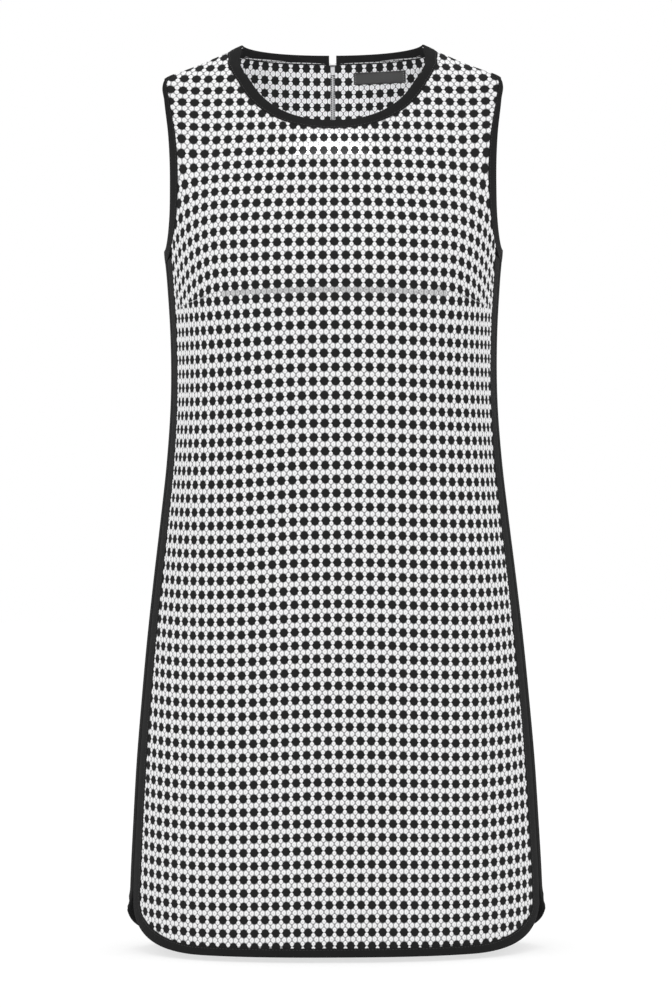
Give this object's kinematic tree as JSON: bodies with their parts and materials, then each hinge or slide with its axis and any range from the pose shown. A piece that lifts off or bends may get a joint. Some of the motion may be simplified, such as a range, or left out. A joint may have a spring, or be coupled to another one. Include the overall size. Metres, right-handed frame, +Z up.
{
  "type": "shift dress",
  "caption": "Sleeveless A-line shift dress, filled out as worn, with a round neck, bound edges, rounded side vents and a zip in the centre back.",
  "frame": {"origin": "midway between the neck ends of the two shoulder seams, where the wearer's shoulders hold the dress", "axes": "+Z up, -Y out of the front, +X to the right of someone facing the front"},
  "size_m": [0.4042, 0.2204, 0.8721],
  "materials": {
    "patterned_cloth": "black and white double weave with a small raised repeat of petals round black stars",
    "binding": "matt black ribbed binding",
    "zip_tape": "black woven tape",
    "zip_metal": "satin nickel",
    "label": "black satin weave, bare"
  },
  "bodies": {
    "dress": {"front_panel": "patterned_cloth", "back_panel_left": "patterned_cloth", "back_panel_right": "patterned_cloth", "neck_binding": "binding", "armhole_binding_left": "binding", "armhole_binding_right": "binding", "front_edge_binding": "binding", "back_edge_binding": "binding", "zip_tape_left": "zip_tape", "zip_tape_right": "zip_tape", "zip_chain": "zip_metal", "zip_slider": "zip_metal", "label": "label"},
    "zip_pull": {"zip_pull": "zip_metal"}
  },
  "joints": [
    {"name": "zip_pull_swing", "type": "hinge", "parent": "dress", "child": "zip_pull", "pos_m": [0, 0.0617, -0.01397], "axis": [1, 0, 0], "range_deg": [0, 160]}
  ]
}
